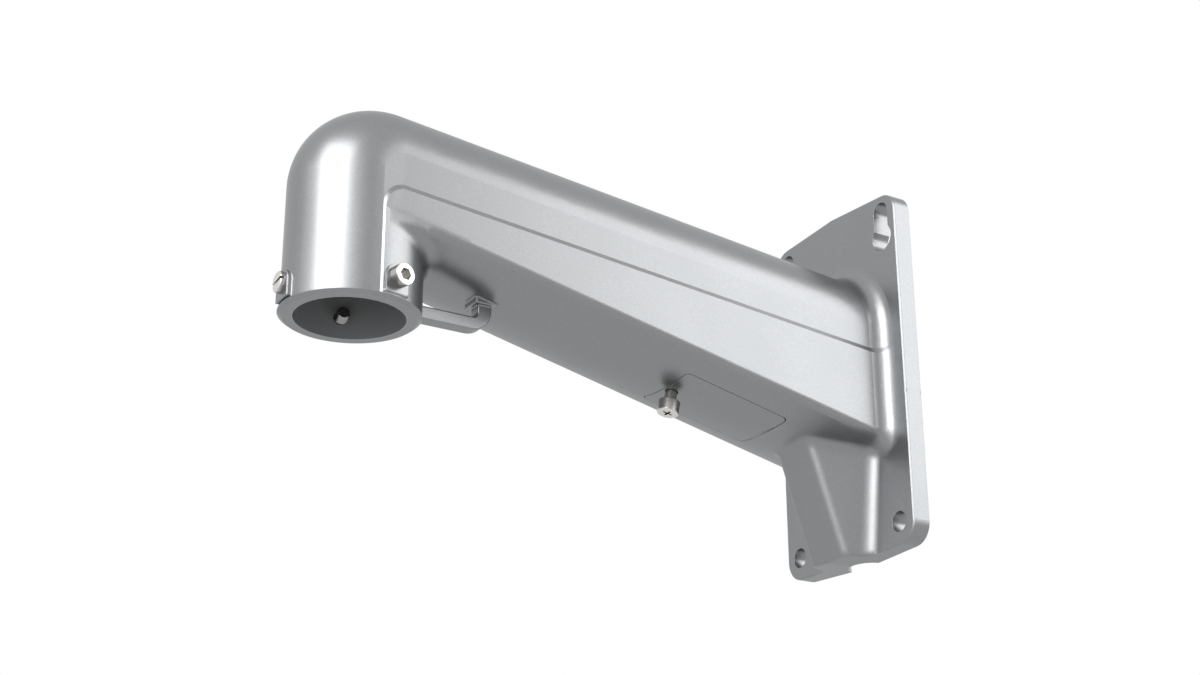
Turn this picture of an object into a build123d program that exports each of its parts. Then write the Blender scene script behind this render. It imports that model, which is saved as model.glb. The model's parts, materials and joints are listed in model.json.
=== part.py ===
"""Cast aluminium wall bracket for a camera, with its service cover and screws.

Millimetres, +Z up. The wall is the plane y = 0 and the arm reaches out along -Y to a
vertical collar that takes the camera's neck from below. The sizes below are measured from
the centre of the wall plate. The finished pieces are moved so that the origin is the middle
of the two lower fixing holes, on the wall plane.
"""

import math
import os

from build123d import *

# Wall plate
plate_width = 97.0
plate_height = 182.6
plate_gable = 2.5
plate_thickness = 9.4
plate_crown = 0.7
plate_corner = 10.0
plate_edge_bevel = 0.7
bevel_stop = 27.0

# Fixing holes in the plate
hole_inset = 10.25
lower_hole_drop = 78.5
lower_hole_radius = 4.9
keyhole_slot_height = 80.5
keyhole_slot_radius = 5.0
keyhole_head_height = 66.8
keyhole_head_radius = 6.8

# Cable way in the wall side of the plate
cable_way_radius = 10.5
cable_way_setback = 2.0
cable_way_height = 60.0

# Collar that takes the camera's neck
collar_reach = 274.86
collar_bottom = -18.6
collar_radius = 29.95
collar_lip_height = 1.4
collar_lip_radius = 29.0
bore_radius = 24.26
bore_depth = 28.0
cast_step = 0.7

# Arm, seen from the side
arm_top_at_wall = 51.45
arm_top_slope = 6.1
underside_at_wall = -45.9
underside_slope = 12.57
elbow_radius = 39.0
arm_to_plate_edge = 13.5
arm_wall = 4.0
arm_lower_corner = 4.0
underside_crown_radius = 90.0
flare_radius = 8.0
throat_radius = 6.0

# Proud lower panel of the arm and its sloping edge
panel_rise = 0.95
panel_edge_below_top = 46.2
panel_edge_height = 2.4
panel_front_edge = 0.9
panel_corner = 9.5

# Gusset under the arm
gusset_half_width = 12.4
gusset_foot_reach = 22.4
gusset_slope = 18.8
gusset_side_slant = 0.41
gusset_ridge_radius = 3.3
gusset_fillet = 8.0
gusset_throat = 6.0
gusset_top = -20.0

# Safety rope loop
loop_bar_width = 7.0
loop_bar_height = 6.2
loop_bar_z = -9.7
loop_leg_y = -211.5
loop_leg_thickness = 7.0
loop_bend_radius = 10.5
loop_inner_radius = 2.5
loop_edge_radius = 0.8
loop_foot_margin = 2.0
loop_foot_z = -0.4

# Collar screws and the pads under their heads
clamp_screw_z = -8.9
clamp_side_angle = 104.0
pad_face_radius = 31.6
pad_width = 11.8
pad_foot_z = -16.35
clamp_hole_radius = 3.1
clamp_shank_radius = 2.9
clamp_tip_setback = 0.2
socket_head_radius = 4.9
socket_head_height = 5.2
socket_key_size = 5.0
socket_key_depth = 3.0
pan_head_radius = 4.8
pan_head_height = 2.5
pan_head_edge = 0.9
pan_slot_width = 1.3
pan_slot_depth = 1.7
pan_slot_tilt = 7.0
head_edge = 0.4

# Service cover under the arm
cover_half_width = 19.0
cover_near_wall = 58.2
cover_far_from_wall = 114.4
cover_corner = 2.6
cover_gap = 0.35
cover_seat_height = 5.0
cover_ledge = 3.0
cover_ledge_thickness = 3.6
cover_frame_margin = 4.0
hook_width = 16.0
hook_thickness = 2.2
hook_clearance = 0.3
hook_reach = 5.0

# Screw of the service cover, backed out as it hangs
cover_screw_y = -110.4
cover_screw_stand_off = 5.0
cover_screw_head_radius = 5.1
cover_screw_head_height = 6.2
cover_screw_shank_radius = 2.85
cover_screw_shank_length = 18.0
cover_screw_hole_clearance = 0.3
cover_screw_thread_clearance = 0.05
cover_boss_radius = 5.5
cover_boss_height = 9.0
cross_length = 4.8
cross_width = 1.0
cross_depth = 2.0

# Worked out from the sizes above
hole_spacing = plate_width - 2 * hole_inset
arm_half_width_at_wall = plate_width / 2 - arm_to_plate_edge
TOP = math.radians(arm_top_slope)
UNDER = math.radians(underside_slope)
arm_half_width_at_collar = collar_radius + panel_rise
elbow_bend = elbow_radius - collar_radius
elbow_y = -collar_reach + elbow_bend
elbow_z = arm_top_at_wall - elbow_y * math.tan(TOP) - elbow_radius / math.cos(TOP)
cavity_radius_at_collar = bore_radius - cast_step
body_bottom = collar_bottom + collar_lip_height

# Construction lengths: how far cutters reach, and how far added forms sink into a wall
far = 400.0
tuck = 0.15
root = 2.0
over = 1.0

wall_plane = Plane(origin=(0, 0, 0), x_dir=(1, 0, 0), z_dir=(0, -1, 0))
elbow_plane = Plane(
    origin=(0, elbow_y, elbow_z), x_dir=(1, 0, 0), z_dir=(0, -math.cos(TOP), math.sin(TOP))
)


def underside_z(y):
    """Height of the arm's underside on the middle plane."""
    return underside_at_wall - y * math.tan(UNDER)


def height_on_elbow_plane(line_at_wall, slope):
    """Where a straight side-view line crosses the elbow plane, measured along that plane."""
    rise = line_at_wall - elbow_y * math.tan(slope) - elbow_z
    return rise / (math.cos(TOP) + math.sin(TOP) * math.tan(slope))


def arm_profile(half_width, top, bottom):
    """Outside of the arm: round top, proud lower panel, crowned underside."""
    upper = half_width - panel_rise
    edge = top - panel_edge_below_top
    upper_end = edge + panel_edge_height / 2
    lower_start = edge - panel_edge_height / 2
    side_bottom = bottom + half_width**2 / (2 * underside_crown_radius)
    outline = Polyline(
        (-half_width, side_bottom),
        (-half_width, lower_start),
        (-upper, upper_end),
        (-upper, top - upper),
    )
    outline += ThreePointArc((-upper, top - upper), (0, top), (upper, top - upper))
    outline += Polyline(
        (upper, top - upper), (upper, upper_end), (half_width, lower_start), (half_width, side_bottom)
    )
    outline += ThreePointArc((half_width, side_bottom), (0, bottom), (-half_width, side_bottom))
    face = make_face(outline)
    lower_corners = [v for v in face.vertices() if abs(v.Y - side_bottom) < 0.01]
    return fillet(lower_corners, arm_lower_corner)


def cavity_profile(half_width, top, bottom):
    """Inside of the arm: round top, crowned floor with rounded corners."""
    side_bottom = bottom + half_width**2 / (2 * underside_crown_radius)
    outline = Line((half_width, top - half_width), (half_width, side_bottom))
    outline += ThreePointArc((half_width, side_bottom), (0, bottom), (-half_width, side_bottom))
    outline += Line((-half_width, side_bottom), (-half_width, top - half_width))
    outline += ThreePointArc((-half_width, top - half_width), (0, top), (half_width, top - half_width))
    face = make_face(outline)
    floor_corners = [v for v in face.vertices() if abs(v.Y - side_bottom) < 0.01]
    return fillet(floor_corners, arm_lower_corner)


def underside_plane(y):
    """Local frame on the underside: +X across, +Y towards the wall, +Z into the arm."""
    return Plane(
        origin=(0, y, underside_z(y)),
        x_dir=(1, 0, 0),
        z_dir=(0, math.sin(UNDER), math.cos(UNDER)),
    )


def upright_cylinder(radius, low, high):
    """Cylinder on the collar's axis between two heights."""
    centre = Location((0, -collar_reach, (low + high) / 2))
    return centre * Cylinder(radius, high - low)


def bent_half_round(radius):
    """Half-round swept round the elbow from the arm's direction down to the collar."""
    outline = Polyline((-radius, elbow_bend), (-radius, 0), (radius, 0), (radius, elbow_bend))
    outline += ThreePointArc((radius, elbow_bend), (0, elbow_bend + radius), (-radius, elbow_bend))
    face = elbow_plane * make_face(outline)
    return revolve(face, Axis((0, elbow_y, elbow_z), (1, 0, 0)), 90 + arm_top_slope)


def panel_region():
    """Space behind the panel's front edge and below its sloping edge, with a rounded corner."""

    def boundary(x):
        out = arm_half_width_at_collar - x
        front = -collar_reach + panel_front_edge - out
        reach = out * panel_edge_height / panel_rise
        back = -200.0
        top_at_wall = arm_top_at_wall - panel_edge_below_top - panel_edge_height / 2 + reach
        top_front = top_at_wall - front * math.tan(TOP)
        top_back = top_at_wall - back * math.tan(TOP)
        low = collar_bottom - over
        # local x runs along +Y and local y along +Z
        face = make_face(Polyline((front, low), (front, top_front), (back, top_back), (back, low), close=True))
        corner = face.vertices().sort_by_distance((front, top_front))[0]
        return Plane.YZ.offset(x) * fillet(corner, panel_corner + out)

    inner_x = arm_half_width_at_collar - root
    outer_x = arm_half_width_at_collar + over
    side = loft([boundary(inner_x), boundary(outer_x)], ruled=True)
    core = extrude(boundary(inner_x), amount=inner_x, dir=(-1, 0, 0))
    half = side + core
    return half + mirror(half, Plane.YZ)


def arm_body():
    """Arm, elbow and collar as one outer form."""
    wall_face = wall_plane * arm_profile(arm_half_width_at_wall, arm_top_at_wall, underside_at_wall)
    bottom = height_on_elbow_plane(underside_at_wall, UNDER)
    end_profile = arm_profile(arm_half_width_at_collar, elbow_radius, bottom)
    arm = loft([wall_face, elbow_plane * end_profile], ruled=True)

    lower_half = end_profile & Pos(0, -far / 2) * Rectangle(far, far)
    neck = extrude(elbow_plane * lower_half, amount=elbow_bend)
    core_height = 0.6 * collar_radius
    core = Pos(0, elbow_y - elbow_bend / 2 + over, elbow_z - core_height / 2) * Box(
        2 * collar_radius, elbow_bend + 2 * over, core_height
    )
    collar_top = elbow_z
    panel = (upright_cylinder(arm_half_width_at_collar, body_bottom, collar_top) + neck) & panel_region()
    front = upright_cylinder(collar_radius, body_bottom, collar_top)
    lip = Pos(0, -collar_reach, collar_bottom + collar_lip_height / 2) * Cone(
        collar_lip_radius, arm_half_width_at_collar, collar_lip_height
    )
    return arm + bent_half_round(collar_radius) + core + panel + front + lip


def throat():
    """Concave blend between the back of the collar and the underside of the arm."""
    middle = -collar_reach
    level = underside_z(middle)
    half = 2 * collar_radius
    rise = half**2 / (2 * underside_crown_radius)
    outline = ThreePointArc((half, rise), (0, 0), (-half, rise))
    outline += Polyline((-half, rise), (-half, half), (half, half), (half, rise))
    along = underside_plane(middle + 2 * half)
    section = Plane(origin=along.origin, x_dir=(1, 0, 0), z_dir=-along.y_dir)
    slab = extrude(section * make_face(outline), amount=4 * half)
    post = upright_cylinder(arm_half_width_at_collar, level - half, level + half / 2)
    joined = slab + post
    low_seam = [edge for edge in seam(slab, post, joined) if edge.center().Z < level + half / 4]
    blend = fillet(low_seam, throat_radius)
    reach = arm_half_width_at_collar + throat_radius
    low = body_bottom + tuck
    high = level + throat_radius
    front = middle + panel_front_edge + tuck
    back = middle + reach
    zone = Pos(0, (front + back) / 2, (low + high) / 2) * Box(
        2 * (arm_half_width_at_collar - tuck), back - front, high - low
    )
    zone = zone & upright_cylinder(reach, low, high)
    return blend & zone


def plate_outline():
    """Outline of the wall plate in the wall plane, with a low gable at the top and bottom."""
    side = plate_width / 2
    shoulder = plate_height / 2 - plate_gable
    points = [(side, -shoulder), (side, shoulder), (0, shoulder + plate_gable)]
    points += [(-side, shoulder), (-side, -shoulder), (0, -shoulder - plate_gable)]
    face = make_face(Polyline(*points, close=True))
    corners = [v for v in face.vertices() if abs(v.X) > 1]
    return fillet(corners, plate_corner)


def wall_plate():
    """Plate with two flat front planes that meet in an upright crease."""
    side = plate_width / 2
    section = Polyline(
        (0, 0), (side, 0), (side, -plate_thickness), (0, -plate_thickness - plate_crown), close=True
    )
    slab = Pos(0, 0, -plate_height) * extrude(make_face(section), amount=2 * plate_height)
    blank = extrude(wall_plane * plate_outline(), amount=2 * plate_thickness)
    half = slab & blank
    front = half.faces().sort_by(Axis.Y)[0]
    rim = [edge for edge in front.edges() if edge.center().X > 0.1]
    square = Pos(0, 0, -plate_height / 2) * Box(2 * bevel_stop, 4 * plate_thickness, plate_corner)
    half = chamfer(rim, plate_edge_bevel) + (half & square)
    return half + mirror(half, Plane.YZ)


def seam(first, second, joined):
    """Edges of the joined shape that lie on the skins of both shapes."""
    skins = [Compound(first.faces()), Compound(second.faces())]
    found = []
    for edge in joined.edges():
        points = [edge.position_at(t) for t in (0.1, 0.5, 0.9)]
        if all(skin.distance_to(Vertex(*p)) < 0.002 for skin in skins for p in points):
            found.append(edge)
    return found


def gusset_section(height):
    """Level section of the gusset, with concave corners where it meets the plate."""
    front = -gusset_foot_reach - (height + plate_height / 2) * math.tan(math.radians(gusset_slope))
    foot = gusset_half_width + gusset_side_slant * (-plate_thickness - front)
    reach = foot + gusset_fillet
    crown = plate_crown * (1 - reach / (plate_width / 2))
    face_y = -plate_thickness - crown + 0.03
    outline = Polyline(
        (reach, -1),
        (reach, face_y),
        (foot, face_y),
        (gusset_half_width, front),
        (-gusset_half_width, front),
        (-foot, face_y),
        (-reach, face_y),
        (-reach, -1),
        close=True,
    )
    face = make_face(outline)
    inner = [v for v in face.vertices() if abs(abs(v.X) - foot) < 0.01]
    face = fillet(inner, gusset_fillet)
    ridges = [v for v in face.vertices() if abs(v.Y - front) < 0.01]
    face = fillet(ridges, gusset_ridge_radius)
    return Pos(0, 0, height) * face


def gusset():
    """Tapered rib under the arm with concave blends into the plate on both sides."""
    foot = -plate_height / 2
    body = loft([gusset_section(foot), gusset_section(gusset_top)], ruled=True)
    return body & extrude(wall_plane * plate_outline(), amount=far)


def rope_loop():
    """Closed eye for the safety rope: a bar from the collar's back, bent up into the arm."""
    half = loop_bar_height / 2
    leg = loop_leg_thickness / 2
    low = loop_bar_z - half
    high = loop_bar_z + half
    back_of_bar = -collar_reach + bore_radius + root
    top = underside_z(loop_leg_y) + arm_wall / 2
    side_view = Polyline(
        (back_of_bar, low),
        (loop_leg_y + leg, low),
        (loop_leg_y + leg, top),
        (loop_leg_y - leg, top),
        (loop_leg_y - leg, high),
        (back_of_bar, high),
        close=True,
    )
    face = make_face(side_view)
    outer = face.vertices().sort_by_distance((loop_leg_y + leg, low))[0]
    face = fillet(outer, loop_bend_radius)
    inner = face.vertices().sort_by_distance((loop_leg_y - leg, high))[0]
    face = fillet(inner, loop_inner_radius)
    bar = extrude(Plane.YZ * face, amount=loop_bar_width / 2, both=True)
    edges = [e for e in bar.edges() if abs(abs(e.center().X) - loop_bar_width / 2) < 0.01]
    edges = [e for e in edges if e.center().Z < top - tuck and e.center().Y > back_of_bar + tuck]
    bar = fillet(edges, loop_edge_radius)
    foot = Pos(0, loop_leg_y, (loop_foot_z + top) / 2) * Box(
        loop_bar_width + 2 * loop_foot_margin,
        loop_leg_thickness + 2 * loop_foot_margin,
        top - loop_foot_z,
    )
    return bar + foot


def around_collar(angle):
    """Frame on the collar's axis at the height of the screws: +Z outwards, +Y up."""
    turn = math.radians(angle)
    out = (math.sin(turn), -math.cos(turn), 0)
    across = (math.cos(turn), math.sin(turn), 0)
    return Plane(origin=(0, -collar_reach, clamp_screw_z), x_dir=across, z_dir=out)


def screw_pad(angle):
    """Flat pad under a collar screw, round on top and open at the collar's bottom."""
    drop = clamp_screw_z - pad_foot_z
    inner = bore_radius + root
    depth = pad_face_radius - inner
    middle = inner + depth / 2
    pad = Pos(0, -drop / 2, middle) * Box(pad_width, drop, depth)
    pad += Pos(0, 0, middle) * Cylinder(pad_width / 2, depth)
    return around_collar(angle) * pad


def arm_cavity():
    """Hollow for the cables, from the wall through the elbow to the bore."""
    wall_face = wall_plane * cavity_profile(
        arm_half_width_at_wall - panel_rise - arm_wall,
        arm_top_at_wall - arm_wall,
        underside_at_wall + arm_wall,
    )
    bottom = height_on_elbow_plane(underside_at_wall, UNDER) + arm_wall
    radius = cavity_radius_at_collar
    top = elbow_radius - (collar_radius - radius)
    end_profile = cavity_profile(radius, top, bottom)
    arm = loft([wall_face, elbow_plane * end_profile], ruled=True)
    lower_half = end_profile & Pos(0, -far / 2) * Rectangle(far, far)
    neck = extrude(elbow_plane * lower_half, amount=elbow_bend)
    bore_top = collar_bottom + bore_depth
    column = upright_cylinder(radius, bore_top - over, elbow_z)
    bore = upright_cylinder(bore_radius, collar_bottom - over, bore_top)
    return arm + bent_half_round(radius) + neck + column + bore


def cover_frame():
    """Thicker rim inside the arm that the cover seats against, with the screw's boss."""
    length = (cover_far_from_wall - cover_near_wall) / math.cos(UNDER)
    middle = -(cover_far_from_wall + cover_near_wall) / 2
    plane = underside_plane(middle)
    floor = arm_wall - over
    top = cover_seat_height + cover_ledge_thickness
    rim = plane * Pos(0, 0, (floor + top) / 2) * Box(
        2 * (cover_half_width + cover_frame_margin),
        length + 2 * cover_frame_margin,
        top - floor,
    )
    boss_top = cover_seat_height + cover_boss_height
    boss = screw_plane() * Pos(0, 0, (floor + boss_top) / 2) * Cylinder(cover_boss_radius, boss_top - floor)
    return rim, boss


def screw_plane():
    """Frame of the cover screw: origin on the underside, +Z up into the arm."""
    return underside_plane(cover_screw_y)


def cover_prism(grow, low, high):
    """Cover's outline on the underside, grown sideways and cut between two heights."""
    length = (cover_far_from_wall - cover_near_wall) / math.cos(UNDER)
    middle = -(cover_far_from_wall + cover_near_wall) / 2
    outline = RectangleRounded(2 * (cover_half_width + grow), length + 2 * grow, cover_corner)
    return underside_plane(middle) * Pos(0, 0, low) * extrude(outline, amount=high - low)


def hook():
    """Tongue on the wall end of the cover that lies over the rim inside the arm."""
    length = (cover_far_from_wall - cover_near_wall) / math.cos(UNDER)
    plane = underside_plane(-(cover_far_from_wall + cover_near_wall) / 2)
    rim_top = cover_seat_height + cover_ledge_thickness
    opening_end = length / 2 - cover_ledge - hook_clearance
    post_height = cover_ledge_thickness + hook_clearance + hook_thickness
    post = Pos(0, opening_end - hook_thickness / 2, cover_seat_height + post_height / 2) * Box(
        hook_width, hook_thickness, post_height
    )
    reach = hook_thickness + hook_reach
    tongue_height = rim_top + hook_clearance + hook_thickness / 2
    tongue = Pos(0, opening_end - hook_thickness + reach / 2, tongue_height) * Box(
        hook_width, reach, hook_thickness
    )
    return plane * (post + tongue)


def casting():
    arm = arm_body()
    plate = wall_plate()
    body = arm + plate
    body = fillet(seam(arm, plate, body), flare_radius) + throat()
    rib = gusset()
    joined = body + rib
    under_arm = [edge for edge in seam(body, rib, joined) if edge.geom_type == GeomType.BSPLINE]
    under_arm = [edge for edge in under_arm if edge.center().Y < -plate_thickness - 2]
    body = fillet(under_arm, gusset_throat)
    body = body + rope_loop()
    for angle in (0, clamp_side_angle, -clamp_side_angle):
        body = body + screw_pad(angle)

    rim, boss = cover_frame()
    hollow = arm_cavity()
    body = body - hollow
    rim = rim & hollow
    body = body + rim + (boss & hollow)

    body = body - cover_prism(cover_gap, -cover_seat_height, cover_seat_height)
    rim_top = cover_seat_height + cover_ledge_thickness
    opening = cover_prism(-cover_ledge, cover_seat_height - over, rim_top + over)
    keep = screw_plane() * Cylinder(cover_boss_radius, 4 * rim_top)
    body = body - (opening - keep)
    thread = cover_screw_shank_radius + cover_screw_thread_clearance
    body = body - screw_plane() * Cylinder(thread, 2 * cover_screw_shank_length)

    for angle in (0, clamp_side_angle, -clamp_side_angle):
        hole = Pos(0, 0, collar_radius) * Cylinder(clamp_hole_radius, collar_radius)
        body = body - around_collar(angle) * hole

    cable_way = Pos(0, cable_way_setback, -plate_height / 2) * Cylinder(cable_way_radius, plate_height)
    body = body - (cable_way & Pos(0, 0, -plate_height / 2) * Box(far, far, 2 * cable_way_height))

    for x in (-hole_spacing / 2, hole_spacing / 2):
        body = body - plate_hole(x, -lower_hole_drop, lower_hole_radius)
        body = body - plate_hole(x, keyhole_slot_height, keyhole_slot_radius)
        body = body - plate_hole(x, keyhole_head_height, keyhole_head_radius)
        middle = (keyhole_slot_height + keyhole_head_height) / 2
        height = keyhole_slot_height - keyhole_head_height
        body = body - Pos(x, 0, middle) * Box(2 * keyhole_slot_radius, 4 * plate_thickness, height)
    return body


def plate_hole(x, z, radius):
    """Hole through the plate along Y."""
    return Plane(origin=(x, 0, z), z_dir=(0, -1, 0)) * Cylinder(radius, 4 * plate_thickness)


def service_cover():
    """Plate that closes the opening under the arm, with a hook at its wall end."""
    outside = arm_body()
    plate = cover_prism(0, -cover_seat_height, cover_seat_height) & outside
    hole = cover_screw_shank_radius + cover_screw_hole_clearance
    return plate + hook() - screw_plane() * Cylinder(hole, 2 * cover_screw_shank_length)


def captive_screw():
    """Cross-head screw of the cover, drawn backed out."""
    head = Pos(0, 0, -cover_screw_stand_off - cover_screw_head_height / 2) * Cylinder(
        cover_screw_head_radius, cover_screw_head_height
    )
    head = fillet(head.edges().filter_by(GeomType.CIRCLE), head_edge)
    low = -cover_screw_stand_off - over
    shank = Pos(0, 0, low + cover_screw_shank_length / 2) * Cylinder(
        cover_screw_shank_radius, cover_screw_shank_length
    )
    shank = chamfer(shank.edges().filter_by(GeomType.CIRCLE).sort_by(Axis.Z)[-1], head_edge)
    bottom = -cover_screw_stand_off - cover_screw_head_height
    cross = Pos(0, 0, bottom + cross_depth / 2) * Box(cross_length, cross_width, cross_depth)
    cross += Pos(0, 0, bottom + cross_depth / 2) * Box(cross_width, cross_length, cross_depth)
    return screw_plane() * (head + shank - cross)


def clamp_shank():
    """Plain shank from the bore's wall out to the pad."""
    tip = bore_radius + clamp_tip_setback
    length = pad_face_radius - tip + over
    shank = Pos(0, 0, tip + length / 2) * Cylinder(clamp_shank_radius, length)
    return chamfer(shank.edges().filter_by(GeomType.CIRCLE).sort_by(Axis.Z)[0], head_edge)


def socket_screw(angle):
    """Hex-socket cap screw seated on its pad."""
    head = Pos(0, 0, pad_face_radius + socket_head_height / 2) * Cylinder(
        socket_head_radius, socket_head_height
    )
    head = fillet(head.edges().filter_by(GeomType.CIRCLE).sort_by(Axis.Z)[-1], head_edge)
    face = pad_face_radius + socket_head_height
    key = extrude(RegularPolygon(socket_key_size / 2, 6, major_radius=False), amount=socket_key_depth)
    return around_collar(angle) * (head + clamp_shank() - Pos(0, 0, face - socket_key_depth) * key)


def pan_screw(angle):
    """Slotted pan-head screw seated on its pad."""
    head = Pos(0, 0, pad_face_radius + pan_head_height / 2) * Cylinder(pan_head_radius, pan_head_height)
    head = fillet(head.edges().filter_by(GeomType.CIRCLE).sort_by(Axis.Z)[-1], pan_head_edge)
    face = pad_face_radius + pan_head_height
    slot = Pos(0, 0, face) * Box(4 * pan_head_radius, pan_slot_width, 2 * pan_slot_depth)
    slot = Rot(0, 0, pan_slot_tilt) * slot
    return around_collar(angle) * (head + clamp_shank() - slot)


def node_shapes():
    return {
        "bracket_casting": casting(),
        "service_cover": service_cover(),
        "captive_cover_screw": captive_screw(),
        "collar_screw_front": pan_screw(0),
        "collar_screw_right": socket_screw(clamp_side_angle),
        "collar_screw_left": socket_screw(-clamp_side_angle),
    }


if __name__ == "__main__":
    os.makedirs("parts", exist_ok=True)
    datum = Pos(0, 0, lower_hole_drop)
    for name, shape in node_shapes().items():
        export_step(datum * shape, f"parts/{name}.step")
        print(name, round(shape.volume / 1000, 2), "cm3", len(shape.solids()), "solids", shape.is_valid)
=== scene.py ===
"""Cast wall bracket for a camera: coated casting, service cover and stainless screws."""

import json
import math

import bmesh
import bpy
from mathutils import Matrix, Vector


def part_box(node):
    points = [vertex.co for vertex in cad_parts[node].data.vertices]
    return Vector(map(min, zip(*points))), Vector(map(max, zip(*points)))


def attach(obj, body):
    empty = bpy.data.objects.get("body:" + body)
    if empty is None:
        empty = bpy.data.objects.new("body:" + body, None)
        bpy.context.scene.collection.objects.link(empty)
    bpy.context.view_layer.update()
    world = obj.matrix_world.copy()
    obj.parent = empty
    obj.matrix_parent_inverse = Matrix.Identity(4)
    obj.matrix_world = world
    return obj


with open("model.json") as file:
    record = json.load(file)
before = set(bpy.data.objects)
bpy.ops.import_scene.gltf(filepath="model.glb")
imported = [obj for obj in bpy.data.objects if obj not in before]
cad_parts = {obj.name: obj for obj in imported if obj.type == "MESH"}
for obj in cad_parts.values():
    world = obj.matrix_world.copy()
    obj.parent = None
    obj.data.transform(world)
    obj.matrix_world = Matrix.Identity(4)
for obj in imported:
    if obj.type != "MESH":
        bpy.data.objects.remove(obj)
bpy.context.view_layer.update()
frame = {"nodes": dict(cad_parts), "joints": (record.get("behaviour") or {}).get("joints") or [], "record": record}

bl_info = {
    "name": "Wall bracket finish",
    "version": (1, 0, 0),
    "blender": (4, 5, 0),
    "location": "3D View > Sidebar > Bracket",
    "description": "Finishes and studio for a cast camera wall bracket",
    "category": "Object",
}

# Nodes by finish
COATED_PIECES = ("bracket_casting", "service_cover")
COVER_SCREW = "captive_cover_screw"
COLLAR_SCREWS = ("collar_screw_front", "collar_screw_right", "collar_screw_left")
TURNED_IN_SCREW = "collar_screw_left"

# Camera's socket and the cover screw's axis, from the record
SOCKET = next(mount for mount in frame["record"]["mounts"] if mount["name"] == "camera_socket")
SOCKET_PLACE = Vector(SOCKET["pos_m"])
COVER_SCREW_AXIS = Vector(frame["joints"][0]["axis"])

# Places on the casting, in metres: heights are lowest and highest, depths foremost and rearmost
GUSSET_HEIGHTS = (-0.05, 0.046)
GUSSET_DEPTHS = (-0.1, -0.0105)
THROAT_HEIGHTS = (0.0825, 0.106)
THROAT_DEPTHS = (-0.272, -0.234)
PAD_HEIGHTS = (0.0615, 0.077)
PAD_DEPTHS = (-0.4, -0.3015)
PAD_FOOT_HEIGHTS = (0.0615, 0.063)
LOOP_FOOT_HEIGHTS = (0.0775, 0.0845)
LOOP_FOOT_DEPTHS = (-0.2255, -0.2035)
LIP_RADIUS = 0.029
BORE_MARGIN = 0.00024
BORE_RADIUS = SOCKET["dims"]["r_mm"] / 1000 + BORE_MARGIN
BORE_TOP = 0.103

# Distances over which one place's look passes into the next
LIP_SLOPE = 0.0005
BORE_SLOPE = 0.0004
BORE_TOP_SLOPE = 0.002
ZONE_SLOPE = 0.0002

# Where rubbed edges start and are full, as one minus the cosine of the rounded normal's turn
RUB_LIMITS = (0.02, 0.25)

# Samples for the rounded look of edges and for corners
COATING_EDGE_SAMPLES = 6
STEEL_EDGE_SAMPLES = 4
CORNER_SAMPLES = 6

# Values of a noise that most of the surface lies between
NOISE_MIDDLE = (0.3, 0.7)

# Coating: speckles of flake, rubbed edges and painted shade in corners, beside its plain colour
GRAIN_DETAIL = 3.0
FLOW_DETAIL = 4.0
SPECKLE_LIMITS = (0.45, 0.75)
SPECKLE_SHARE = 0.5
SPECKLE_LIGHTER = 1.25
RUBBED_LIGHTER = 1.8
# Painted shade in corners and gaps: the darker share of the colour, and where it starts and is full
PAINTED_CORNER_SHADE = 0.5
COATING_SHADE_LIMITS = (0.05, 0.45)
COATING_SHINE_SPREAD = 0.07
GRAIN_STRENGTH = 0.3

# Steel: smudges, rubbed edges, and painted shade on the sides and in the drives, beside its plain colour
SMUDGE_DETAIL = 3.0
SMUDGE_DARKER = 0.94
SMUDGE_LIGHTER = 1.05
STEEL_RUBBED_LIGHTER = 1.2
# Painted shade: on the sides, by how far the normal turns from the axis, and deep in corners and drives
SIDE_SHADE_LIMITS = (0.4, 0.8)
STEEL_SHADE_LIMITS = (0.2, 0.9)
STEEL_SHINE_SPREAD = 0.15
TURNING_WAVER = 0.4
TURNING_STRENGTH = 0.2

# The ring texture repeats every 0.314 units at a scale of 1
WAVE_PERIOD = 0.314

# Thread: the mesh's sides round the screw and rows for each turn
THREAD_SIDES = 48
ROWS_PER_TURN = 10

# Thread: end of the flat crest and start of the flat root, from 0 at the crest to 1 at the root
FLAT_CREST = 0.12
FLAT_ROOT = 0.92

# Depth of the chamfered point, in thread depths
POINT_DEPTH = 1.3

# Softboxes: bearing and rise in degrees, distance, width and height in metres, and their setting
LAMP_TARGET = Vector((0, -0.15, 0.08))
SOFTBOXES = (
    ("front_softbox", (27, 25), 1.3, (1.05, 1.25), "key_power"),
    ("broad_softbox", (27, 10), 1.6, (3.2, 1.7), "broad_power"),
    ("side_softbox", (140, 25), 1.6, (1.4, 1.2), "side_power"),
)

# Floor: half its width in metres, and its matt finish
FLOOR_HALF = 10.0
FLOOR_COLOUR = (0.86, 0.86, 0.86, 1)
FLOOR_ROUGHNESS = 0.9
WHITE = (1, 1, 1, 1)

# The camera stands below the arm, in front and to its right
CAMERA_PLACE = Vector((0.707754, -0.583690, -0.250563))
CAMERA_AZIMUTH = math.radians(58.471)
CAMERA_ELEVATION = math.radians(-21.514)
CAMERA_ROLL = math.radians(-0.204)
SENSOR_WIDTH = 36.0
NEAREST_SEEN = 0.01
FARTHEST_SEEN = 20.0


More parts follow.
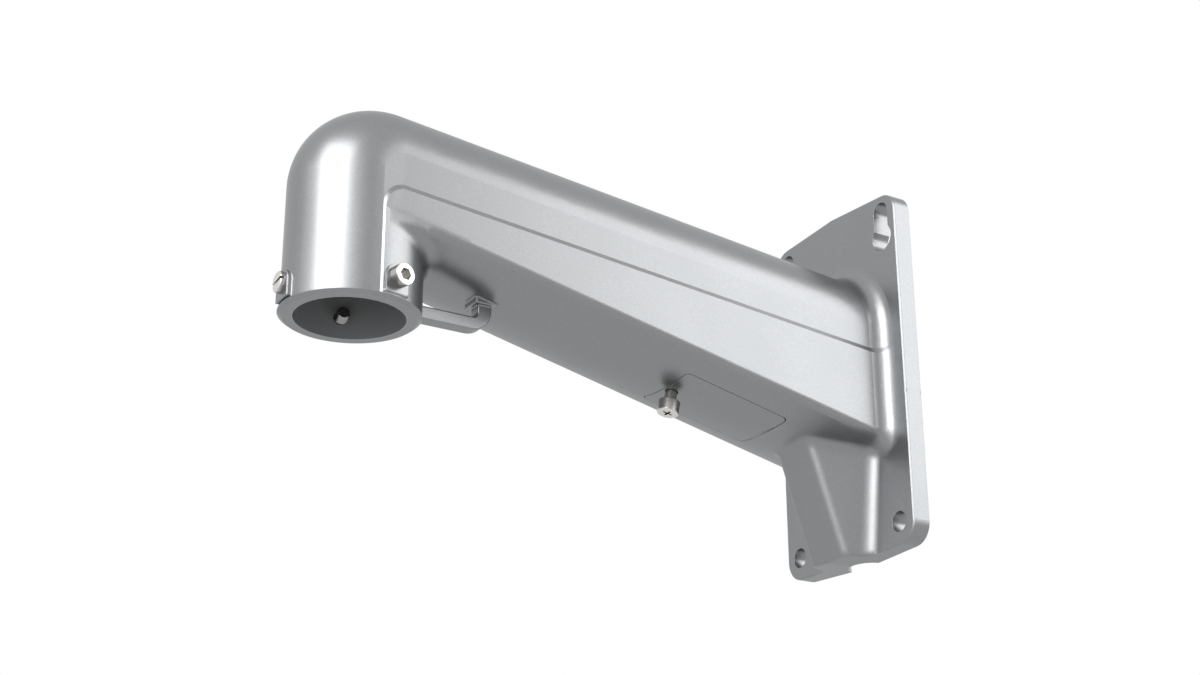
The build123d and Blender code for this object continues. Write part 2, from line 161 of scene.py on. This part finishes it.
class CoatingSettings(bpy.types.PropertyGroup):
    """Silver coating on the casting and its cover."""

    colour: bpy.props.FloatVectorProperty(
        name="Coating colour", description="Base colour of the silver coating",
        subtype="COLOR", size=3, default=(0.245, 0.251, 0.257), min=0.0, max=1.0,
    )
    edge_tint: bpy.props.FloatVectorProperty(
        name="Edge tint", description="How strongly the coating mirrors at a shallow angle",
        subtype="COLOR", size=3, default=(0.85, 0.85, 0.85), min=0.0, max=1.0,
    )
    bore_metal: bpy.props.FloatProperty(
        name="Flake in the bore", description="How metallic the thin coating in the collar's bore looks",
        subtype="FACTOR", default=0.3, min=0.0, max=1.0,
    )
    metal: bpy.props.FloatProperty(
        name="Metallic flake", description="How metallic the coating looks",
        subtype="FACTOR", default=0.96, min=0.0, max=1.0,
    )
    roughness: bpy.props.FloatProperty(
        name="Roughness", description="Width of the coating's soft shine",
        subtype="FACTOR", default=0.33, min=0.0, max=1.0,
    )
    grain: bpy.props.FloatProperty(
        name="Grain size", description="Size of the fine orange-peel grain",
        subtype="DISTANCE", unit="LENGTH", default=0.0007, min=0.0001, max=0.01,
    )
    flow: bpy.props.FloatProperty(
        name="Flow size", description="Size of the soft cloudiness of the coating",
        subtype="DISTANCE", unit="LENGTH", default=0.035, min=0.001, max=0.5,
    )
    colour_spread: bpy.props.FloatProperty(
        name="Colour spread", description="How far the cloudiness lightens and darkens the colour",
        subtype="FACTOR", default=0.04, min=0.0, max=0.5,
    )
    grain_height: bpy.props.FloatProperty(
        name="Grain height", description="Height of the fine grain",
        subtype="DISTANCE", unit="LENGTH", default=0.00002, min=0.0, max=0.001,
    )
    edge_softness: bpy.props.FloatProperty(
        name="Edge softness", description="Radius at which cast edges catch the light",
        subtype="DISTANCE", unit="LENGTH", default=0.0003, min=0.0, max=0.005,
    )
    gusset_softness: bpy.props.FloatProperty(
        name="Gusset softness", description="Radius at which the gusset's ridges catch the light",
        subtype="DISTANCE", unit="LENGTH", default=0.004, min=0.0, max=0.005,
    )
    throat_softness: bpy.props.FloatProperty(
        name="Throat softness",
        description="Radius at which the blend between collar and arm catches the light",
        subtype="DISTANCE", unit="LENGTH", default=0.004, min=0.0, max=0.005,
    )
    pad_softness: bpy.props.FloatProperty(
        name="Pad softness",
        description="Radius at which the screw pads and the loop's foot catch the light",
        subtype="DISTANCE", unit="LENGTH", default=0.0013, min=0.0, max=0.005,
    )
    # Painted shade: corners and gaps of the coating get a darker colour within this reach
    shade_reach: bpy.props.FloatProperty(
        name="Crevice depth", description="How far into a corner or gap the coating looks darker",
        subtype="DISTANCE", unit="LENGTH", default=0.0005, min=0.0, max=0.02,
    )
    edge_wear: bpy.props.FloatProperty(
        name="Edge wear", description="How much lighter the coating is rubbed along sharp edges",
        subtype="FACTOR", default=0.25, min=0.0, max=1.0,
    )


class SteelSettings(bpy.types.PropertyGroup):
    """Stainless steel of the screws."""

    colour: bpy.props.FloatVectorProperty(
        name="Steel colour", description="Base colour of the stainless steel",
        subtype="COLOR", size=3, default=(0.62, 0.60, 0.58), min=0.0, max=1.0,
    )
    roughness: bpy.props.FloatProperty(
        name="Roughness", description="Width of the steel's shine",
        subtype="FACTOR", default=0.24, min=0.0, max=1.0,
    )
    turning_pitch: bpy.props.FloatProperty(
        name="Turning marks", description="Distance between the fine turning marks",
        subtype="DISTANCE", unit="LENGTH", default=0.0003, min=0.00005, max=0.002,
    )
    turning_depth: bpy.props.FloatProperty(
        name="Turning depth", description="Height of the fine turning marks",
        subtype="DISTANCE", unit="LENGTH", default=0.00002, min=0.0, max=0.0005,
    )
    smudge: bpy.props.FloatProperty(
        name="Smudge size", description="Size of the slight unevenness of the steel's shine",
        subtype="DISTANCE", unit="LENGTH", default=0.003, min=0.0005, max=0.05,
    )
    edge_softness: bpy.props.FloatProperty(
        name="Edge softness", description="Radius at which the screws' edges catch the light",
        subtype="DISTANCE", unit="LENGTH", default=0.0002, min=0.0, max=0.002,
    )
    # Painted shade deep in the drives: how light the steel colour stays in the cross and in the slot and hexagon
    cross_shade: bpy.props.FloatProperty(
        name="Cross recess shade", description="How light the steel stays deep in the cover screw's cross",
        subtype="FACTOR", default=0.12, min=0.0, max=1.0,
    )
    drive_shade: bpy.props.FloatProperty(
        name="Drive shade",
        description="How light the steel stays deep in the collar screws' slot and hexagon",
        subtype="FACTOR", default=0.8, min=0.0, max=1.0,
    )
    # Painted shade on the screws' sides: the share of the steel colour they keep beside the faces
    side_shade: bpy.props.FloatProperty(
        name="Side shade", description="How light the turned sides are beside the ground faces",
        subtype="FACTOR", default=0.6, min=0.0, max=1.0,
    )
    # Painted shade: corners and drives of the steel get a darker colour within this reach
    shade_reach: bpy.props.FloatProperty(
        name="Crevice depth", description="How far into a corner or drive the steel looks darker",
        subtype="DISTANCE", unit="LENGTH", default=0.0025, min=0.0, max=0.02,
    )


class ScrewTipSettings(bpy.types.PropertyGroup):
    """Threaded tip of the collar screw that is turned further in."""

    start_radius: bpy.props.FloatProperty(
        name="Start radius", description="Distance from the socket's axis to the tip's outer end",
        subtype="DISTANCE", unit="LENGTH", default=0.0246, min=0.01, max=0.03,
    )
    length: bpy.props.FloatProperty(
        name="Length", description="Length of the threaded tip inside the bore",
        subtype="DISTANCE", unit="LENGTH", default=0.0071, min=0.002, max=0.02,
    )
    radius: bpy.props.FloatProperty(
        name="Thread radius", description="Outer radius of the thread",
        subtype="DISTANCE", unit="LENGTH", default=0.00298, min=0.001, max=0.005,
    )
    depth: bpy.props.FloatProperty(
        name="Thread depth", description="Depth of the thread",
        subtype="DISTANCE", unit="LENGTH", default=0.00055, min=0.0001, max=0.001,
    )
    pitch: bpy.props.FloatProperty(
        name="Pitch", description="Distance between neighbouring threads",
        subtype="DISTANCE", unit="LENGTH", default=0.001, min=0.0005, max=0.002,
    )
    # Painted shade: the tip inside the bore keeps this share of the steel colour
    shade: bpy.props.FloatProperty(
        name="Shade", description="How dark the oiled thread is beside the screw's head",
        subtype="FACTOR", default=0.5, min=0.0, max=1.0,
    )


class StudioSettings(bpy.types.PropertyGroup):
    """Studio around the bracket."""

    key_power: bpy.props.FloatProperty(
        name="Front softbox", description="Power of the softbox in front of the collar",
        unit="POWER", default=17.0, min=0.0,
    )
    broad_power: bpy.props.FloatProperty(
        name="Broad softbox", description="Power of the dim, broad softbox behind the front one",
        unit="POWER", default=12.5, min=0.0,
    )
    side_power: bpy.props.FloatProperty(
        name="Side softbox", description="Power of the softbox behind the plate, on the right",
        unit="POWER", default=14.0, min=0.0,
    )
    world_fill: bpy.props.FloatProperty(
        name="Room light", description="Strength of the even light that falls on matt surfaces",
        default=0.35, min=0.0,
    )
    floor_height: bpy.props.FloatProperty(
        name="Floor height", description="Height of the floor under the bracket",
        subtype="DISTANCE", unit="LENGTH", default=-0.6,
    )
    floor_white: bpy.props.FloatProperty(
        name="White floor",
        description="Share of plain white in what the eye and reflections see of the floor",
        subtype="FACTOR", default=0.85, min=0.0, max=1.0,
    )
    lens: bpy.props.FloatProperty(
        name="Lens", description="Focal length on a 36 mm wide sensor",
        subtype="DISTANCE_CAMERA", default=58.02, min=10.0,
    )


def new_material(name):
    """Empty node material with a Principled shader wired to the output."""
    material = bpy.data.materials.new(name)
    material.use_nodes = True
    nodes = material.node_tree.nodes
    shader = next(node for node in nodes if node.type == "BSDF_PRINCIPLED")
    return material, nodes, material.node_tree.links, shader


def add_noise(nodes, links, vector, size, detail):
    """Noise whose blotches are about the given size in metres."""
    noise = nodes.new("ShaderNodeTexNoise")
    noise.inputs["Scale"].default_value = 1.0 / size
    noise.inputs["Detail"].default_value = detail
    links.new(vector, noise.inputs["Vector"])
    return noise.outputs["Fac"]


def add_range(nodes, links, value, low, high, to_low, to_high):
    """Value carried from one range to another, held at the ends."""
    spread = nodes.new("ShaderNodeMapRange")
    spread.inputs["From Min"].default_value = low
    spread.inputs["From Max"].default_value = high
    spread.inputs["To Min"].default_value = to_low
    spread.inputs["To Max"].default_value = to_high
    links.new(value, spread.inputs["Value"])
    return spread.outputs["Result"]


def add_product(nodes, links, first, second):
    """Product of two values."""
    product = nodes.new("ShaderNodeMath")
    product.operation = "MULTIPLY"
    links.new(first, product.inputs[0])
    links.new(second, product.inputs[1])
    return product.outputs["Value"]


def add_larger(nodes, links, first, second):
    """The larger of two values."""
    larger = nodes.new("ShaderNodeMath")
    larger.operation = "MAXIMUM"
    links.new(first, larger.inputs[0])
    links.new(second, larger.inputs[1])
    return larger.outputs["Value"]


def add_vector_step(nodes, links, operation, vector, constant=None):
    """One step of vector arithmetic, with a constant where it takes two vectors."""
    step = nodes.new("ShaderNodeVectorMath")
    step.operation = operation
    links.new(vector, step.inputs[0])
    if constant is not None:
        step.inputs[1].default_value = constant
    return step


def add_colour_mix(nodes, links, factor, first, second):
    """Mix of two colours, each a tuple or a socket."""
    mix = nodes.new("ShaderNodeMix")
    mix.data_type = "RGBA"
    links.new(factor, mix.inputs["Factor"])
    for name, colour in (("A", first), ("B", second)):
        if isinstance(colour, tuple):
            mix.inputs[name].default_value = (*colour, 1.0)
        else:
            links.new(colour, mix.inputs[name])
    return mix.outputs["Result"]


def scaled(colour, factor):
    """Colour made lighter or darker."""
    return tuple(min(channel * factor, 1.0) for channel in colour)


def add_edge_mask(nodes, links, soft_normal):
    """Rises from 0 to 1 where the rounded normal turns away from the surface's own."""
    surface = nodes.new("ShaderNodeNewGeometry")
    turn = nodes.new("ShaderNodeVectorMath")
    turn.operation = "DOT_PRODUCT"
    links.new(soft_normal, turn.inputs[0])
    links.new(surface.outputs["Normal"], turn.inputs[1])
    start, end = (1.0 - limit for limit in RUB_LIMITS)
    return add_range(nodes, links, turn.outputs["Value"], start, end, 0.0, 1.0)


def add_unshaded_share(nodes, links, reach, limits):
    """Rises from 0 deep in a corner or gap to 1 on open surface, and sets where painted shade goes."""
    corner = nodes.new("ShaderNodeAmbientOcclusion")
    corner.samples = CORNER_SAMPLES
    corner.inputs["Distance"].default_value = reach
    return add_range(nodes, links, corner.outputs["AO"], *limits, 0.0, 1.0)


def wire_shine(nodes, links, shader, noise, roughness, spread):
    """Roughness that a noise lowers and raises by a share."""
    shine = add_range(
        nodes, links, noise, *NOISE_MIDDLE, roughness * (1 - spread), roughness * (1 + spread)
    )
    links.new(shine, shader.inputs["Roughness"])


def wire_relief(nodes, links, shader, relief, height, strength, soft_normal):
    """Fine relief on a surface whose edges already look rounded."""
    bump = nodes.new("ShaderNodeBump")
    bump.inputs["Strength"].default_value = strength
    bump.inputs["Distance"].default_value = height
    links.new(relief, bump.inputs["Height"])
    links.new(soft_normal, bump.inputs["Normal"])
    links.new(bump.outputs["Normal"], shader.inputs["Normal"])


def between(nodes, links, value, low, high):
    """One where a value lies between two limits, and zero elsewhere, with a short slope at each end."""
    above = add_range(nodes, links, value, low - ZONE_SLOPE, low, 0.0, 1.0)
    under = add_range(nodes, links, value, high, high + ZONE_SLOPE, 1.0, 0.0)
    return add_product(nodes, links, above, under)


def zone(nodes, links, split, heights, depths):
    """One in a block of space between two heights and two depths, and zero elsewhere."""
    tall = between(nodes, links, split.outputs["Z"], *heights)
    deep = between(nodes, links, split.outputs["Y"], *depths)
    return add_product(nodes, links, tall, deep)


def edge_radius(nodes, links, place, settings):
    """Radius of the rounded look of the edges, wider on the gusset, throat, loop's foot and pads."""
    split = nodes.new("ShaderNodeSeparateXYZ")
    links.new(place, split.inputs["Vector"])
    outside = add_range(
        nodes, links, from_socket_axis(nodes, links, place), LIP_RADIUS - LIP_SLOPE, LIP_RADIUS, 0.0, 1.0
    )
    pad_feet = add_product(
        nodes, links, between(nodes, links, split.outputs["Z"], *PAD_FOOT_HEIGHTS), outside
    )
    softened = (
        (zone(nodes, links, split, GUSSET_HEIGHTS, GUSSET_DEPTHS), settings.gusset_softness),
        (zone(nodes, links, split, THROAT_HEIGHTS, THROAT_DEPTHS), settings.throat_softness),
        (zone(nodes, links, split, LOOP_FOOT_HEIGHTS, LOOP_FOOT_DEPTHS), settings.pad_softness),
        (zone(nodes, links, split, PAD_HEIGHTS, PAD_DEPTHS), settings.pad_softness),
        (pad_feet, settings.pad_softness),
    )
    radii = [
        add_range(nodes, links, share, 0.0, 1.0, settings.edge_softness, softness)
        for share, softness in softened
    ]
    radius = radii[0]
    for other in radii[1:]:
        radius = add_larger(nodes, links, radius, other)
    return radius


def from_socket_axis(nodes, links, place):
    """Distance from the upright axis of the collar's bore."""
    offset = add_vector_step(nodes, links, "SUBTRACT", place, SOCKET_PLACE)
    level = add_vector_step(nodes, links, "MULTIPLY", offset.outputs["Vector"], (1, 1, 0))
    return add_vector_step(nodes, links, "LENGTH", level.outputs["Vector"]).outputs["Value"]


def bore_share(nodes, links, place):
    """One in the collar's bore, where the coating is thin and dull, and zero elsewhere."""
    distance = from_socket_axis(nodes, links, place)
    inside = add_range(nodes, links, distance, BORE_RADIUS, BORE_RADIUS + BORE_SLOPE, 1.0, 0.0)
    split = nodes.new("ShaderNodeSeparateXYZ")
    links.new(place, split.inputs["Vector"])
    below = add_range(
        nodes, links, split.outputs["Z"], BORE_TOP, BORE_TOP + BORE_TOP_SLOPE, 1.0, 0.0
    )
    return add_product(nodes, links, inside, below)


def coating_colour(nodes, links, settings, grain, flow, soft_normal):
    """Silver with slight cloudiness and flake, lighter along rubbed edges, and with painted shade darkening
    corners and gaps.
    """
    tone = tuple(settings.colour)
    spread = settings.colour_spread
    base = add_colour_mix(nodes, links, flow, scaled(tone, 1 - spread), scaled(tone, 1 + spread))
    speckle = add_range(nodes, links, grain, *SPECKLE_LIMITS, 0.0, SPECKLE_SHARE)
    speckled = add_colour_mix(nodes, links, speckle, base, scaled(tone, SPECKLE_LIGHTER))
    rub = add_edge_mask(nodes, links, soft_normal)
    worn = add_range(nodes, links, rub, 0.0, 1.0, 0.0, settings.edge_wear)
    rubbed = add_colour_mix(nodes, links, worn, speckled, scaled(tone, RUBBED_LIGHTER))
    # Painted shade: corners and gaps darken the coating's colour
    unshaded_share = add_unshaded_share(nodes, links, settings.shade_reach, COATING_SHADE_LIMITS)
    return add_colour_mix(nodes, links, unshaded_share, scaled(tone, PAINTED_CORNER_SHADE), rubbed)


def coating_material(settings):
    """Fine-grained satin silver coating on cast aluminium, rubbed a little along its edges."""
    material, nodes, links, shader = new_material("silver_coating")
    shader.inputs["Specular Tint"].default_value = (*settings.edge_tint, 1.0)
    place = nodes.new("ShaderNodeTexCoord").outputs["Object"]
    bore = bore_share(nodes, links, place)
    metal = add_range(nodes, links, bore, 0.0, 1.0, settings.metal, settings.bore_metal)
    links.new(metal, shader.inputs["Metallic"])
    grain = add_noise(nodes, links, place, settings.grain, GRAIN_DETAIL)
    flow = add_noise(nodes, links, place, settings.flow, FLOW_DETAIL)
    soft_edge = nodes.new("ShaderNodeBevel")
    soft_edge.samples = COATING_EDGE_SAMPLES
    links.new(edge_radius(nodes, links, place, settings), soft_edge.inputs["Radius"])
    soft_normal = soft_edge.outputs["Normal"]
    colour = coating_colour(nodes, links, settings, grain, flow, soft_normal)
    links.new(colour, shader.inputs["Base Color"])
    wire_shine(nodes, links, shader, flow, settings.roughness, COATING_SHINE_SPREAD)
    wire_relief(nodes, links, shader, grain, settings.grain_height, GRAIN_STRENGTH, soft_normal)
    return material


def turning_marks(nodes, links, place, centre, axis, pitch):
    """Fine rings round a screw's own axis."""
    to_axis = nodes.new("ShaderNodeMapping")
    to_axis.vector_type = "TEXTURE"
    to_axis.inputs["Location"].default_value = centre
    to_axis.inputs["Rotation"].default_value = axis.to_track_quat("Z", "Y").to_euler()
    links.new(place, to_axis.inputs["Vector"])
    rings = nodes.new("ShaderNodeTexWave")
    rings.wave_type = "RINGS"
    rings.rings_direction = "Z"
    rings.inputs["Scale"].default_value = WAVE_PERIOD / pitch
    rings.inputs["Distortion"].default_value = TURNING_WAVER
    links.new(to_axis.outputs["Vector"], rings.inputs["Vector"])
    return rings.outputs["Fac"]


def shaded_sides(nodes, links, axis):
    """One on the sides of a screw, which get painted shade, and zero on the faces across its axis."""
    surface = nodes.new("ShaderNodeNewGeometry").outputs["Normal"]
    facing = nodes.new("ShaderNodeMath")
    facing.operation = "ABSOLUTE"
    along = add_vector_step(nodes, links, "DOT_PRODUCT", surface, axis)
    links.new(along.outputs["Value"], facing.inputs[0])
    return add_range(nodes, links, facing.outputs["Value"], *SIDE_SHADE_LIMITS, 1.0, 0.0)


def steel_colour(nodes, links, settings, tone, smudge, soft_normal, axis, recess):
    """Steel with faint smudges, bright edges, and painted shade on its sides and deep in its drive."""
    base = add_colour_mix(
        nodes, links, smudge, scaled(tone, SMUDGE_DARKER), scaled(tone, SMUDGE_LIGHTER)
    )
    rub = add_edge_mask(nodes, links, soft_normal)
    rubbed = add_colour_mix(nodes, links, rub, base, scaled(tone, STEEL_RUBBED_LIGHTER))
    # Painted shade on the screw's sides, beside its faces across the axis
    side = shaded_sides(nodes, links, axis)
    turned = add_colour_mix(nodes, links, side, rubbed, scaled(tone, settings.side_shade))
    # Painted shade deep in corners and drives
    unshaded_share = add_unshaded_share(nodes, links, settings.shade_reach, STEEL_SHADE_LIMITS)
    return add_colour_mix(nodes, links, unshaded_share, scaled(tone, recess), turned)


def steel_material(name, settings, centre, axis, recess, shade=1.0):
    """Stainless steel with fine turning marks round a screw's own axis, with painted shade deep in its drive by
    recess, and all over by shade.
    """
    material, nodes, links, shader = new_material(name)
    shader.inputs["Metallic"].default_value = 1.0
    place = nodes.new("ShaderNodeTexCoord").outputs["Object"]
    rings = turning_marks(nodes, links, place, centre, axis, settings.turning_pitch)
    smudge = add_noise(nodes, links, place, settings.smudge, SMUDGE_DETAIL)
    soft_edge = nodes.new("ShaderNodeBevel")
    soft_edge.samples = STEEL_EDGE_SAMPLES
    soft_edge.inputs["Radius"].default_value = settings.edge_softness
    soft_normal = soft_edge.outputs["Normal"]
    tone = scaled(settings.colour, shade)
    colour = steel_colour(nodes, links, settings, tone, smudge, soft_normal, axis, recess)
    links.new(colour, shader.inputs["Base Color"])
    wire_shine(nodes, links, shader, smudge, settings.roughness, STEEL_SHINE_SPREAD)
    wire_relief(nodes, links, shader, rings, settings.turning_depth, TURNING_STRENGTH, soft_normal)
    return material


def give_material(node, material):
    """Puts one material on a carried-over solid."""
    piece = frame["nodes"][node]
    piece.data.materials.clear()
    piece.data.materials.append(material)


def middle_of(node):
    """Centre of a solid's box."""
    low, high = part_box(node)
    return (Vector(low) + Vector(high)) / 2


def way_out(node):
    """Level direction from the socket's axis to a collar screw."""
    offset = middle_of(node) - SOCKET_PLACE
    return Vector((offset.x, offset.y, 0)).normalized()


class OBJECT_OT_coat_casting(bpy.types.Operator):
    """Give the casting and its service cover their silver coating"""

    bl_idname = "object.coat_casting"
    bl_label = "Coat casting and cover"

    def execute(self, context):
        material = coating_material(context.scene.bracket_coating)
        for node in COATED_PIECES:
            give_material(node, material)
        return {"FINISHED"}


class OBJECT_OT_finish_cover_screw(bpy.types.Operator):
    """Give the captive cover screw its turned steel"""

    bl_idname = "object.finish_cover_screw"
    bl_label = "Finish cover screw"

    def execute(self, context):
        settings = context.scene.bracket_steel
        steel = steel_material(
            "cover_screw_steel", settings, middle_of(COVER_SCREW), COVER_SCREW_AXIS, settings.cross_shade
        )
        give_material(COVER_SCREW, steel)
        return {"FINISHED"}


class OBJECT_OT_finish_collar_screws(bpy.types.Operator):
    """Give the three collar screws their turned steel"""

    bl_idname = "object.finish_collar_screws"
    bl_label = "Finish collar screws"

    def execute(self, context):
        settings = context.scene.bracket_steel
        for node in COLLAR_SCREWS:
            steel = steel_material(
                node + "_steel", settings, middle_of(node), way_out(node), settings.drive_shade
            )
            give_material(node, steel)
        return {"FINISHED"}


def thread_radius(along, turn, settings):
    """Radius of the threaded end at a distance from its start and a share of a turn."""
    phase = (along / settings.pitch - turn) % 1.0
    flank = 1.0 - abs(2.0 * phase - 1.0)
    cut = min(max((flank - FLAT_CREST) / (FLAT_ROOT - FLAT_CREST), 0.0), 1.0)
    thread = settings.radius - settings.depth * cut
    point = settings.radius - settings.depth * POINT_DEPTH + (settings.length - along)
    return min(thread, point)


def threaded_end(settings):
    """Mesh of a screw's threaded end along +Z, closed at both ends, with a chamfered point."""
    rows = max(int(settings.length / settings.pitch * ROWS_PER_TURN), ROWS_PER_TURN)
    mesh = bmesh.new()
    rings = []
    for row in range(rows + 1):
        along = settings.length * row / rows
        ring = []
        for step in range(THREAD_SIDES):
            turn = step / THREAD_SIDES
            radius = thread_radius(along, turn, settings)
            angle = 2 * math.pi * turn
            ring.append(mesh.verts.new((radius * math.cos(angle), radius * math.sin(angle), along)))
        rings.append(ring)
    for lower, upper in zip(rings, rings[1:]):
        for step in range(THREAD_SIDES):
            following = (step + 1) % THREAD_SIDES
            mesh.faces.new((lower[step], lower[following], upper[following], upper[step]))
    mesh.faces.new(tuple(reversed(rings[0])))
    mesh.faces.new(tuple(rings[-1]))
    data = bpy.data.meshes.new("threaded_end")
    mesh.to_mesh(data)
    mesh.free()
    return data


class OBJECT_OT_thread_screw_tip(bpy.types.Operator):
    """Add the threaded tip of the left collar screw, where it stands into the collar's bore"""

    bl_idname = "object.thread_screw_tip"
    bl_label = "Add screw tip"

    def execute(self, context):
        settings = context.scene.bracket_screw_tip
        finish = context.scene.bracket_steel
        outwards = way_out(TURNED_IN_SCREW)
        start = SOCKET_PLACE + outwards * settings.start_radius
        start.z = middle_of(TURNED_IN_SCREW).z
        data = threaded_end(settings)
        tip = bpy.data.objects.new(TURNED_IN_SCREW + "_tip", data)
        context.scene.collection.objects.link(tip)
        inwards = (-outwards).to_track_quat("Z", "Y").to_matrix().to_4x4()
        data.transform(Matrix.Translation(start) @ inwards)
        # The tip's steel colour is darkened by painted shade, as it stands in the bore
        steel = steel_material(
            "screw_tip_steel", finish, start, outwards, finish.drive_shade, settings.shade
        )
        data.materials.append(steel)
        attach(tip, "bracket")
        return {"FINISHED"}


def seen_directly(nodes, links):
    """One for camera, glossy and transmission rays, which show the background itself."""
    rays = nodes.new("ShaderNodeLightPath").outputs
    camera_or_glossy = add_larger(nodes, links, rays["Is Camera Ray"], rays["Is Glossy Ray"])
    return add_larger(nodes, links, camera_or_glossy, rays["Is Transmission Ray"])


def build_world(settings):
    """White surroundings to the eye and in reflections, and an even, dimmer room light."""
    world = bpy.data.worlds.new("studio_room")
    bpy.context.scene.world = world
    world.use_nodes = True
    nodes, links = world.node_tree.nodes, world.node_tree.links
    nodes.clear()
    output = nodes.new("ShaderNodeOutputWorld")
    mix = nodes.new("ShaderNodeMixShader")
    links.new(seen_directly(nodes, links), mix.inputs["Fac"])
    for slot, strength in ((1, settings.world_fill), (2, 1.0)):
        light = nodes.new("ShaderNodeBackground")
        light.inputs["Color"].default_value = WHITE
        light.inputs["Strength"].default_value = strength
        links.new(light.outputs["Background"], mix.inputs[slot])
    links.new(mix.outputs["Shader"], output.inputs["Surface"])


def build_floor(settings):
    """Plain pale floor, far below the bracket."""
    mesh = bpy.data.meshes.new("floor")
    corners = [
        (across * FLOOR_HALF, along * FLOOR_HALF, settings.floor_height)
        for across, along in ((-1, -1), (1, -1), (1, 1), (-1, 1))
    ]
    mesh.from_pydata(corners, [], [(0, 1, 2, 3)])
    floor = bpy.data.objects.new("floor", mesh)
    bpy.context.scene.collection.objects.link(floor)
    material, nodes, links, shader = new_material("pale_floor")
    shader.inputs["Roughness"].default_value = FLOOR_ROUGHNESS
    shader.inputs["Base Color"].default_value = FLOOR_COLOUR
    white = nodes.new("ShaderNodeEmission")
    white.inputs["Strength"].default_value = 1.0
    mix = nodes.new("ShaderNodeMixShader")
    seen = seen_directly(nodes, links)
    links.new(add_range(nodes, links, seen, 0.0, 1.0, 0.0, settings.floor_white), mix.inputs["Fac"])
    links.new(shader.outputs["BSDF"], mix.inputs[1])
    links.new(white.outputs["Emission"], mix.inputs[2])
    output = next(node for node in nodes if node.type == "OUTPUT_MATERIAL")
    links.new(mix.outputs["Shader"], output.inputs["Surface"])
    mesh.materials.append(material)


def direction_to(bearing, rise):
    """Unit vector at a bearing from -Y towards +X and a rise above level, in degrees."""
    bearing, rise = math.radians(bearing), math.radians(rise)
    return Vector((math.sin(bearing) * math.cos(rise), -math.cos(bearing) * math.cos(rise), math.sin(rise)))


def build_softbox(name, place, distance, size, power):
    """Rectangular lamp that faces the bracket from a bearing and a rise."""
    direction = direction_to(*place)
    lamp = bpy.data.lights.new(name, "AREA")
    lamp.shape = "RECTANGLE"
    lamp.size, lamp.size_y = size
    lamp.energy = power
    holder = bpy.data.objects.new(name, lamp)
    holder.location = LAMP_TARGET + direction * distance
    holder.rotation_mode = "QUATERNION"
    holder.rotation_quaternion = direction.to_track_quat("Z", "Y")
    holder.visible_camera = False
    bpy.context.scene.collection.objects.link(holder)


def build_camera(settings):
    """Camera at the photograph's place."""
    lens = bpy.data.cameras.new("photo_camera")
    lens.lens = settings.lens
    lens.sensor_width = SENSOR_WIDTH
    lens.clip_start = NEAREST_SEEN
    lens.clip_end = FARTHEST_SEEN
    camera = bpy.data.objects.new("photo_camera", lens)
    flat = math.cos(CAMERA_ELEVATION)
    back = Vector((
        math.sin(CAMERA_AZIMUTH) * flat, -math.cos(CAMERA_AZIMUTH) * flat, math.sin(CAMERA_ELEVATION)
    ))
    side = (-back).cross(Vector((0, 0, 1))).normalized()
    up = side.cross(-back)
    turn, lift = math.cos(CAMERA_ROLL), math.sin(CAMERA_ROLL)
    right = side * turn + up * lift
    top = up * turn - side * lift
    camera.matrix_world = Matrix((
        (right.x, top.x, back.x, CAMERA_PLACE.x),
        (right.y, top.y, back.y, CAMERA_PLACE.y),
        (right.z, top.z, back.z, CAMERA_PLACE.z),
        (0, 0, 0, 1),
    ))
    bpy.context.scene.collection.objects.link(camera)
    bpy.context.scene.camera = camera


class SCENE_OT_bracket_studio(bpy.types.Operator):
    """Set up the floor, the softboxes and the camera"""

    bl_idname = "scene.bracket_studio"
    bl_label = "Set up studio"

    def execute(self, context):
        settings = context.scene.bracket_studio
        context.scene.view_settings.view_transform = "Standard"
        build_world(settings)
        build_floor(settings)
        for name, place, distance, size, power in SOFTBOXES:
            build_softbox(name, place, distance, size, getattr(settings, power))
        build_camera(settings)
        return {"FINISHED"}


class VIEW3D_PT_bracket(bpy.types.Panel):
    """Finishes and studio of the bracket"""

    bl_label = "Wall bracket"
    bl_idname = "VIEW3D_PT_bracket"
    bl_space_type = "VIEW_3D"
    bl_region_type = "UI"
    bl_category = "Bracket"

    def draw(self, context):
        scene = context.scene
        for title, group, operators in PANEL_ROWS:
            box = self.layout.box()
            box.label(text=title)
            settings = getattr(scene, group)
            for name in settings.__annotations__:
                box.prop(settings, name)
            for operator in operators:
                box.operator(operator)


PANEL_ROWS = (
    ("Coating", "bracket_coating", ("object.coat_casting",)),
    ("Screws", "bracket_steel", ("object.finish_cover_screw", "object.finish_collar_screws")),
    ("Screw tip", "bracket_screw_tip", ("object.thread_screw_tip",)),
    ("Studio", "bracket_studio", ("scene.bracket_studio",)),
)

SETTINGS = (
    ("bracket_coating", CoatingSettings),
    ("bracket_steel", SteelSettings),
    ("bracket_screw_tip", ScrewTipSettings),
    ("bracket_studio", StudioSettings),
)

CLASSES = (
    CoatingSettings,
    SteelSettings,
    ScrewTipSettings,
    StudioSettings,
    OBJECT_OT_coat_casting,
    OBJECT_OT_finish_cover_screw,
    OBJECT_OT_finish_collar_screws,
    OBJECT_OT_thread_screw_tip,
    SCENE_OT_bracket_studio,
    VIEW3D_PT_bracket,
)


def register():
    """Registers the classes and hangs the settings on the scene."""
    for cls in CLASSES:
        bpy.utils.register_class(cls)
    for name, cls in SETTINGS:
        setattr(bpy.types.Scene, name, bpy.props.PointerProperty(type=cls))


def unregister():
    """Takes the classes and settings away again."""
    for name, _ in SETTINGS:
        delattr(bpy.types.Scene, name)
    for cls in reversed(CLASSES):
        bpy.utils.unregister_class(cls)


def main():
    """Dresses the bracket and sets up its studio."""
    register()
    bpy.ops.object.coat_casting()
    bpy.ops.object.finish_cover_screw()
    bpy.ops.object.finish_collar_screws()
    bpy.ops.object.thread_screw_tip()
    bpy.ops.scene.bracket_studio()


if __name__ == "__main__":
    main()
